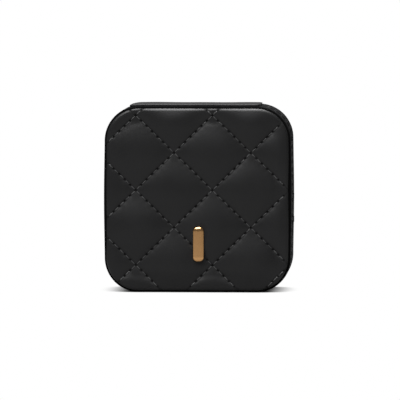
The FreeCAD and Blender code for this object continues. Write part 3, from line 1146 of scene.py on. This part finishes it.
@dataclass(frozen=True)
class SideWalls:
    """Leather strips round lid and base, sewn along the zip, and the plain back panel."""

    sizes: CaseSizes
    seam: Seam
    edge: float = 0.4 * MM
    section_steps: tuple[int, int] = (32, 5)
    wall_steps: tuple[int, int] = (40, 40)
    bulge: float = 0.12 * MM
    swell: float = 0.45 * MM
    swell_past: float = 8 * MM
    groove_margin: float = 0.1 * MM
    painted_groove_shade: float = 0.6
    sewn_in: float = 2.2 * MM
    strip_gap: float = 2 * MM
    back_rim: tuple[float, float] = (1.2 * MM, 1.2 * MM)
    back_cells: int = 120
    back_sewn_in: float = 3.4 * MM
    back_groove: float = 0.22 * MM
    back_groove_width: float = 0.8 * MM

    def side_swell(self, run: Array) -> Array:
        """Let the two upright sides swell towards their middle, as a squared cosine.

        Args:
            run: Lengths walked along the outline.

        Returns:
            How far the wall stands out.
        """
        knots = self.sizes.outline.knots()
        right, left = (knots[2] + knots[3]) / 2, (knots[6] + knots[7]) / 2
        away = np.minimum(np.abs(run - right), np.abs(run - left))
        reach = (knots[3] - knots[2]) / 2 + self.swell_past
        return self.swell * np.cos(QUARTER_TURN * np.clip(away / reach, 0, 1)) ** 2

    def wall(self, node: str) -> Shape:
        """Carry a rounded strip round the case; its outer side bulges as a parabola across the
        strip and swells along the sides.

        Args:
            node: The node that it stands for.

        Returns:
            The closed surface.
        """
        thickness = self.sizes.leather
        section = strip_section(node, 0.0, thickness, self.edge)
        profile = section.traced(*self.section_steps)
        share = (profile[:, 1] - section.centre[1]) / section.half_height
        outer = smooth_step(1 - profile[:, 0] / thickness)
        profile[:, 0] -= self.bulge * (1 - share**2) * outer
        outline = self.sizes.outline
        run = outline.steps(*self.wall_steps)
        rows = np.broadcast_to(profile, (len(run), *profile.shape)).copy()
        rows[..., 0] -= self.side_swell(run)[:, None] * outer
        return carried_profile(rows, outline, run)

    def wall_thread(self, low: float, high: float, row: float) -> Shape:
        """Sew along a wall beside the zip, flat on its swollen side, from one end of the hinge
        strip round to the other.

        Args:
            low: Front edge of the wall.
            high: Back edge of the wall.
            row: Depth of the seam.

        Returns:
            All the stitches.
        """
        outline = self.sizes.outline
        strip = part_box("hinge_strip")
        start = strip[1].x + self.strip_gap
        end = outline.length() + strip[0].x - self.strip_gap
        run = np.linspace(start, end, round((end - start) / self.seam.pitch) + 1)
        share = (2 * row - low - high) / (high - low)
        stand = self.side_swell(run) + self.bulge * (1 - share**2) - self.seam.bed
        holes = np.insert(outline.points(outline.stations(run), -stand), 1, row, axis=1)
        middle = outline.stations((run[:-1] + run[1:]) / 2)
        return self.seam.sewn((holes[:-1], holes[1:]), np.insert(middle.outward, 1, 0.0, axis=1))

    def back_thread(self, panel: Panel) -> Shape:
        """Sew round the back panel, at a distance inside its rim.

        Args:
            panel: The back panel.

        Returns:
            All the stitches.
        """
        outline = self.sizes.outline
        inner = panel.inset + self.back_sewn_in
        count = round(outline.length(inner) / self.seam.pitch)
        run = np.arange(count + 1) / count * outline.length(inner)
        places = outline.points(outline.stations(run, inner), inner)
        holes = np.insert(places, 1, panel.face - self.seam.bed, axis=1)
        return self.seam.sewn((holes[:-1], holes[1:]), np.array([0.0, 1.0, 0.0]))

    def back_relief(self, across: Array, up: Array, room: Array) -> Array:
        """Press a sewing groove into the back panel, as a bell curve of the room to its rim."""
        away = (room - self.back_sewn_in) / self.back_groove_width
        return self.back_groove * np.exp(-(away**2))

    def build(self) -> None:
        """Put the walls, the back panel and their thread in the scene."""
        for body in (Body.LID, Body.BASE):
            name, node = f"{body.value}_wall", f"{body.value}_wall_leather"
            low, high = (corner.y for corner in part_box(node))
            is_lid = body is Body.LID
            outer, row = (low, high - self.sewn_in) if is_lid else (high, low + self.sewn_in)
            shape = self.wall(node)
            # Painted shade along the wall's outer edge, in the groove next to the front or the back
            # panel.
            groove = np.abs(shape.points[:, 1] - outer) < self.edge + self.groove_margin
            painted_shade = self.painted_groove_shade * groove
            Piece(name, shape, SHADED_WALL_LEATHER, body, node, seam=painted_shade).place()
            thread = self.wall_thread(low, high, row)
            Piece(f"{name}_thread", thread, THREAD, body).place()
        node = "base_back_leather"
        outline = self.sizes.outline
        panel = Panel.of_node(node, outline, Facing.BACK, self.back_rim, self.back_cells)
        shape = panel.shape(self.back_relief)
        Piece("back_panel", shape, LEATHER, Body.BASE, node).place()
        Piece("back_panel_thread", self.back_thread(panel), THREAD, Body.BASE).place()


@dataclass(frozen=True)
class Band:
    """Soft band over the hinge: its node, its thickness, the radii of its corners and of its
    edges, and the height of its waves."""

    node: str
    thickness: float
    rounding: float
    edge: float
    sway: float = 0.0


@dataclass(frozen=True)
class HingeBand:
    """Leather strip over the hinge and the lining cloth under it.
    Each wave has a length along the band and one across it."""

    sizes: CaseSizes
    strip: Band = Band("hinge_strip", 1.0 * MM, 2.5 * MM, 0.5 * MM, 0.04 * MM)
    cloth: Band = Band("hinge_lining", 0.6 * MM, 1.0 * MM, 0.25 * MM)
    waves: tuple[tuple[float, float], ...] = ((7.3 * MM, 9 * MM), (4.1 * MM, -5.7 * MM))
    section_steps: tuple[int, int] = (96, 4)
    places: int = 161
    cut_edge: float = 0.42 * MM
    painted_edge_shade: float = 0.35
    bend: float = 4.2 * MM

    def shape(self, band: Band) -> Shape:
        """Lay a band over the case's top: a rounded section carried along the outline, whose
        width follows a quarter circle near the two ends and whose top sways in low waves.

        Args:
            band: The band to lay.

        Returns:
            The closed surface.
        """
        outline = self.sizes.outline
        low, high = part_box(band.node)
        outside = outline.high - high.z
        section = strip_section(band.node, outside, band.thickness, band.edge)
        profile = section.traced(*self.section_steps)
        first, last = -self.half_run(-low.x, outside), self.half_run(high.x, outside)
        ease = np.sin(np.linspace(-1, 1, self.places) * QUARTER_TURN)
        run = (first + last) / 2 + (last - first) / 2 * ease
        narrow = end_pinch(np.minimum(run - first, last - run), band.rounding)
        scale = 1 - narrow / section.half_height
        middle = section.centre[1]
        rows = np.broadcast_to(profile, (len(run), *profile.shape)).copy()
        rows[..., 1] = middle + (profile[:, 1] - middle) * scale[:, None]
        wave = sum(np.sin(run[:, None] / a + rows[..., 1] / b) for a, b in self.waves)
        on_top = profile[:, 0] < section.middle
        rows[..., 0] += band.sway * (wave - len(self.waves)) * on_top
        return carried_profile(rows, outline, run, closed=False)

    def half_run(self, reach: float, inset: float) -> float:
        """Measure from the top middle to where an outline passes a sideways position.

        Args:
            reach: The sideways position.
            inset: How far inside the outline the walk is made.

        Returns:
            Length walked on the outline itself.
        """
        outline = self.sizes.outline
        straight = float(outline.straights[0])
        turn = math.asin(max(reach - straight, 0) / (outline.corner - inset))
        return min(reach, straight) + turn * outline.corner

    def build(self) -> None:
        """Put the strip and the lining in the scene."""
        low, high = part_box(self.strip.node)
        shape, node = self.shape(self.strip), self.strip.node
        depth = shape.points[:, 1]
        # Painted shade along the strip's front and back cut edges.
        painted_shade = self.painted_edge_shade * (np.minimum(depth - low.y, high.y - depth) < self.cut_edge)
        strip = Piece("hinge_leather", shape, STRIP_LEATHER, None, node, seam=painted_shade).place()
        shape, node = self.shape(self.cloth), self.cloth.node
        cloth = Piece("hinge_cloth", shape, SUEDE, None, node).place()
        low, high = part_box(node)
        for piece in (strip, cloth):
            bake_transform(piece)


@dataclass(frozen=True)
class Zip:
    """Woven tapes, moulded teeth, stops, sliders and pulls; the metal's edges are rounded."""

    rounding: float = 0.12 * MM
    segments: int = 2
    weld: float = 0.001 * MM
    sharp: float = 35.0

    def soften(self, name: str) -> None:
        """Round the edges of a node of the frame.

        Args:
            name: The node's name.
        """
        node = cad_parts[name]
        joined = node.modifiers.new("joined", "WELD")
        joined.merge_threshold = self.weld
        rounded = node.modifiers.new("rounded", "BEVEL")
        rounded.width = self.rounding
        rounded.segments = self.segments
        rounded.angle_limit = math.radians(self.sharp)

    def build(self) -> None:
        """Dress the zip."""
        dress_nodes(TAPE, "zip_tape_lid", "zip_tape_base")
        sides = [f"zip_{part}_{side}" for side in ("lid", "base") for part in ("teeth", "stops")]
        runners = [f"{place}_{part}" for place in ("upper", "lower") for part in ("slider", "pull")]
        dress_nodes(DARK_METAL, *sides, *runners)
        for name in (*sides, *runners):
            self.soften(name)


@dataclass(frozen=True)
class Lining:
    """Suede over thin padding: its thickness, the width and depth of a panel's rim, how a panel
    falls away towards it, a panel's cells along a side, and the steps round the case."""

    thickness: float = 1.0 * MM
    rim: tuple[float, float] = (1.0 * MM, 1.0 * MM)
    puff: SoftRim = SoftRim(0.25 * MM, 8 * MM)
    cells: int = 96
    steps: tuple[int, int] = (36, 36)

    def panel(self, node: str, outline: Outline, facing: Facing) -> Shape:
        """Build the lined panel that stands for a node of the frame."""
        return Panel.of_node(node, outline, facing, self.rim, self.cells).shape(self.puff)

    def ring(self, profile: Array, outline: Outline) -> Shape:
        """Carry a profile of the lining round the case."""
        return carried_profile(profile, outline, outline.steps(*self.steps))


@dataclass(frozen=True)
class LidInside:
    """Lined inside of the lid with its mirror."""

    sizes: CaseSizes
    lining: Lining
    fold_points: int = 7
    fold_height: float = 0.55 * MM
    fold_reach: float = 1.1 * MM
    bezel_width: float = 3.5 * MM
    bezel_crown: float = 0.6 * MM
    bezel_hold: float = 1.0 * MM
    bezel_corner: float = 12.5 * MM
    bezel_points: int = 17
    bezel_steps: tuple[int, int] = (36, 28)

    def side_lining(self) -> Shape:
        """Carry the side lining round the lid: an upright strip whose top rounds off along a
        quarter ellipse and folds over the frame's edge.

        Returns:
            The closed surface.
        """
        outline, thickness = self.sizes.outline, self.lining.thickness
        low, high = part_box("lid_wall_lining")
        outer = outline.half_width - high.x
        over, top = outer - self.fold_reach, high.y + self.fold_height
        turn = np.linspace(QUARTER_TURN, 0, self.fold_points)
        inward = outer + thickness / 2 * (1 + np.cos(turn))
        crown = np.stack([inward, high.y + self.fold_height * np.sin(turn)], axis=1)
        foot = [[outer + thickness, low.y], [outer, low.y], [outer, high.y]]
        profile = np.vstack([crown, foot, [[over, high.y], [over, top]]])
        return self.lining.ring(profile, outline)

    def mirror_rim(self) -> Shape:
        """Carry the mirror's rim round it: half an ellipse over a step that holds the glass.

        Returns:
            The closed surface.
        """
        low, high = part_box("mirror_bezel")
        rim = Outline.around("mirror_bezel", self.bezel_corner)
        turn = np.linspace(0, math.pi, self.bezel_points)
        width, drop = self.bezel_width, self.bezel_crown * (1 - np.sin(turn))
        crown = np.stack([width / 2 * (1 - np.cos(turn)), high.y - drop], axis=1)
        ledge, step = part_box("lid_mirror")[1].y, width - self.bezel_hold
        foot = [[width, ledge], [step, ledge], [step, low.y], [0, low.y]]
        return carried_profile(np.vstack([crown, foot]), rim, rim.steps(*self.bezel_steps))

    def build(self) -> None:
        """Put the lid's lining, mirror and rim in the scene."""
        node = "lid_lining_panel"
        panel = self.lining.panel(node, self.sizes.outline, Facing.BACK)
        Piece("lid_lining", panel, SUEDE, Body.LID, node).place()
        node = "lid_wall_lining"
        Piece("lid_side_lining", self.side_lining(), SUEDE, Body.LID, node).place()
        Piece("mirror_rim", self.mirror_rim(), LEATHER, Body.LID, "mirror_bezel").place()
        dress_nodes(MIRROR, "lid_mirror")
        dress_nodes(BOARD, "lid_board", "lid_frame")
        dress_nodes(STEEL, "badge_washers")


@dataclass(frozen=True)
class BaseInside:
    """Lined tray of the base: floor, lip, compartment walls and ring rolls."""

    sizes: CaseSizes
    lining: Lining
    lip_edge: float = 0.45 * MM
    lip_steps: tuple[int, int] = (40, 5)
    divider_round: float = 0.9
    divider_steps: tuple[int, int] = (16, 8)
    rolls: int = 7
    roll_points: int = 25
    roll_places: int = 49
    roll_crown: float = 6 * MM
    roll_power: float = 0.8
    roll_end: float = 1.6 * MM
    tray_inset: float = 4.55 * MM

    def tray_edge(self, up: Array) -> Array:
        """Follow the tray's left edge, straight and then round its corners.

        Args:
            up: Upward positions.

        Returns:
            Sideways positions of the edge.
        """
        outline = self.sizes.outline
        past = np.maximum(np.abs(up - outline.centre[1]) - outline.straights[1], 0)
        turn = np.sqrt(np.maximum((outline.corner - self.tray_inset) ** 2 - past**2, 0))
        return -outline.straights[0] - turn

    def roll(self, node: str) -> Shape:
        """Stuff a ring roll: a section with a flat foot and an elliptic crown, carried sideways
        as far as the tray reaches, drawn in towards both ends along a quarter circle.

        Args:
            node: The node that it stands for.

        Returns:
            The closed surface.
        """
        low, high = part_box(node)
        half, middle = (high.z - low.z) / 2, (high.z + low.z) / 2
        turn = np.linspace(0, math.pi, self.roll_points)
        drop = self.roll_crown * (1 - np.sin(turn) ** self.roll_power)
        crown = np.stack([low.y + drop, half * np.cos(turn)], axis=1)
        profile = np.vstack([crown, [[high.y, -half], [high.y, half]]])
        reach = (high.x - low.x) / 2
        way = reach * np.sin(np.linspace(-1, 1, self.roll_places) * QUARTER_TURN)[:, None]
        draw = end_pinch(reach - np.abs(way), self.roll_end)
        up = middle + profile[:, 1] * (1 - draw / half)
        depth = np.minimum(profile[:, 0] + draw, high.y)
        start = np.maximum(low.x, self.tray_edge(up))
        across = high.x - (high.x - start) * (1 - way / reach) / 2
        return skinned(np.stack([across, depth, up], axis=-1))

    def divider(self, node: str, along: Axis, thin: Axis) -> Shape:
        """Cover a divider: a bar whose section has rounded edges.

        Args:
            node: The node that it stands for.
            along: Axis that it runs along.
            thin: Axis across its thickness.

        Returns:
            The closed surface.
        """
        low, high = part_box(node)
        half, middle = (high[thin] - low[thin]) / 2, (high[thin] + low[thin]) / 2
        section = Outline(half, low.y, high.y, half * self.divider_round, middle)
        profile = section.traced(*self.divider_steps)
        if thin is Axis.Z:
            profile = profile[:, ::-1]
        return straight_bar(profile, (low[along], high[along]), along)

    def build(self) -> None:
        """Put the tray's pieces in the scene."""
        outline = self.sizes.outline
        node = "base_floor_pad"
        panel = self.lining.panel(node, outline, Facing.FRONT)
        floor = Piece("tray_floor", panel, SUEDE, Body.BASE, node).place()
        node = "base_tray_lining"
        inset = outline.half_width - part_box(node)[1].x
        section = strip_section(node, inset, self.lining.thickness, self.lip_edge)
        ring = self.lining.ring(section.traced(*self.lip_steps), outline)
        Piece("tray_lining", ring, SUEDE, Body.BASE, node).place()
        dividers = (
            ("centre_partition", Axis.Z, Axis.X),
            ("cross_divider_lower", Axis.X, Axis.Z),
            ("cross_divider_upper", Axis.X, Axis.Z),
        )
        for node, along, thin in dividers:
            bar = self.divider(node, along, thin)
            Piece(f"{node}_cover", bar, SUEDE, Body.BASE, node).place()
        for number in range(1, self.rolls + 1):
            node = f"ring_roll_{number}"
            shape = self.roll(node)
            roll = Piece(f"padded_roll_{number}", shape, SUEDE, Body.BASE, node).place()
        dress_nodes(BOARD, "base_board", "base_frame")


@dataclass(frozen=True)
class Lamp:
    """Square soft light: its name, where it hangs, its side and its power in watts."""

    name: str
    place: Triple
    size: float
    power: float

    def hang(self, target: Triple) -> None:
        """Hang the lamp so that it looks at a target.

        Args:
            target: The point looked at.
        """
        light = bpy.data.lights.new(self.name, "AREA")
        light.shape = "SQUARE"
        light.size = self.size
        light.energy = self.power
        made = bpy.data.objects.new(self.name, light)
        made.location = self.place
        way = Vector(target) - made.location
        made.rotation_euler = way.to_track_quat("-Z", "Y").to_euler()
        bpy.context.scene.collection.objects.link(made)


@dataclass(frozen=True)
class Studio:
    """Floor and surroundings that are white to the camera only, soft lights and the camera."""

    target: Triple = (1.5 * MM, -25 * MM, 48.9 * MM)
    azimuth: float = 2.9
    elevation: float = 3.0
    distance: float = 3.0
    lens: float = 513.0
    sensor: float = 36.0
    near_clip: float = 10 * MM
    floor_reach: float = 6.0
    floor_grey: float = 0.25
    floor_mirrored: float = 0.1
    shadow_reach: float = 20 * MM
    shadow_range: tuple[float, float] = (0.1, 0.6)
    shadow_samples: int = 24
    dim_level: float = 0.07
    world_mirrored: float = 0.06
    lamps: tuple[Lamp, ...] = (
        Lamp("key", (-0.14, -0.385, 0.69), 0.55, 7.0),
        Lamp("top", (0.0, 0.05, 0.9), 0.5, 12.0),
    )

    def seen(self, nodes: Nodes, mirrored: float) -> Socket:
        """Find how much of the white background a ray sees: all of it from the camera and
        through glass, a share of it in a reflection.

        Args:
            nodes: The nodes of the floor or of the world.
            mirrored: Share that reflections show.

        Returns:
            The share, 0 to 1.
        """
        path = nodes.node("ShaderNodeLightPath").outputs
        share = nodes.reckoned("MULTIPLY", path["Is Glossy Ray"], mirrored)
        share = nodes.reckoned("MAXIMUM", share, path["Is Camera Ray"])
        return nodes.reckoned("MAXIMUM", share, path["Is Transmission Ray"])

    def floor(self) -> None:
        """Lay the floor. It is white to the camera in the open, and plainly lit close to the
        case, where its contact shadow falls."""
        shader = Shader("floor_finish")
        grey = (self.floor_grey, self.floor_grey, self.floor_grey, 1.0)
        shader.paint({"Base Color": grey, "Roughness": 0.9, "Specular IOR Level": 0.0})
        reach, samples = {"Distance": self.shadow_reach}, self.shadow_samples
        clear = shader.node("ShaderNodeAmbientOcclusion", reach, samples=samples).outputs["AO"]
        low, high = self.shadow_range
        ends = {"Value": clear, "From Min": low, "From Max": high}
        share = shader.node("ShaderNodeMapRange", ends).outputs["Result"]
        white = shader.reckoned("MULTIPLY", share, self.seen(shader, self.floor_mirrored))
        glow = shader.node("ShaderNodeEmission").outputs["Emission"]
        shader.show(white, shader.surface.outputs["BSDF"], glow, "Material Output")
        mesh = bpy.data.meshes.new("floor")
        far = self.floor_reach
        corners = [(-far, -far, 0), (far, -far, 0), (far, far, 0), (-far, far, 0)]
        mesh.from_pydata(corners, [], [(0, 1, 2, 3)])
        mesh.materials.append(shader.material)
        made = bpy.data.objects.new("floor", mesh)
        bpy.context.scene.collection.objects.link(made)

    def surroundings(self) -> None:
        """Set the world: white to the camera, dim to the case."""
        world = bpy.data.worlds.new("studio")
        world.use_nodes = True
        nodes = Nodes(world.node_tree)
        dim = nodes.tree.nodes["Background"]
        white = nodes.node("ShaderNodeBackground")
        for glow, level in ((dim, self.dim_level), (white, 1.0)):
            nodes.feed(glow, {"Color": (1, 1, 1, 1), "Strength": level})
        glows = (glow.outputs["Background"] for glow in (dim, white))
        nodes.show(self.seen(nodes, self.world_mirrored), *glows, "World Output")
        bpy.context.scene.world = world

    def camera(self) -> None:
        """Set the camera at the photograph's angle."""
        turn, tilt = math.radians(self.azimuth), math.radians(self.elevation)
        level = math.cos(tilt)
        back = Vector((math.sin(turn) * level, -math.cos(turn) * level, math.sin(tilt)))
        data = bpy.data.cameras.new("camera")
        data.lens = self.lens
        data.sensor_width = self.sensor
        data.clip_start = self.near_clip
        made = bpy.data.objects.new("camera", data)
        made.location = Vector(self.target) + back * self.distance
        made.rotation_euler = (-back).to_track_quat("-Z", "Y").to_euler()
        bpy.context.scene.collection.objects.link(made)
        bpy.context.scene.camera = made

    def build(self) -> None:
        """Put floor, light and camera in the scene."""
        self.floor()
        self.surroundings()
        for lamp in self.lamps:
            lamp.hang(self.target)
        self.camera()
        bpy.context.scene.view_settings.view_transform = "Standard"


def main() -> None:
    """Build the case's looks and the studio around it."""
    logging.basicConfig(level=logging.INFO, format="%(name)s %(message)s")
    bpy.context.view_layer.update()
    sizes, seam, lining = CaseSizes.from_frame(), Seam(), Lining()
    parts = (
        QuiltedFront(sizes, seam),
        SideWalls(sizes, seam),
        HingeBand(sizes),
        Zip(),
        LidInside(sizes, lining),
        BaseInside(sizes, lining),
        Studio(),
    )
    for part in parts:
        part.build()


if __name__ == "__main__":
    main()
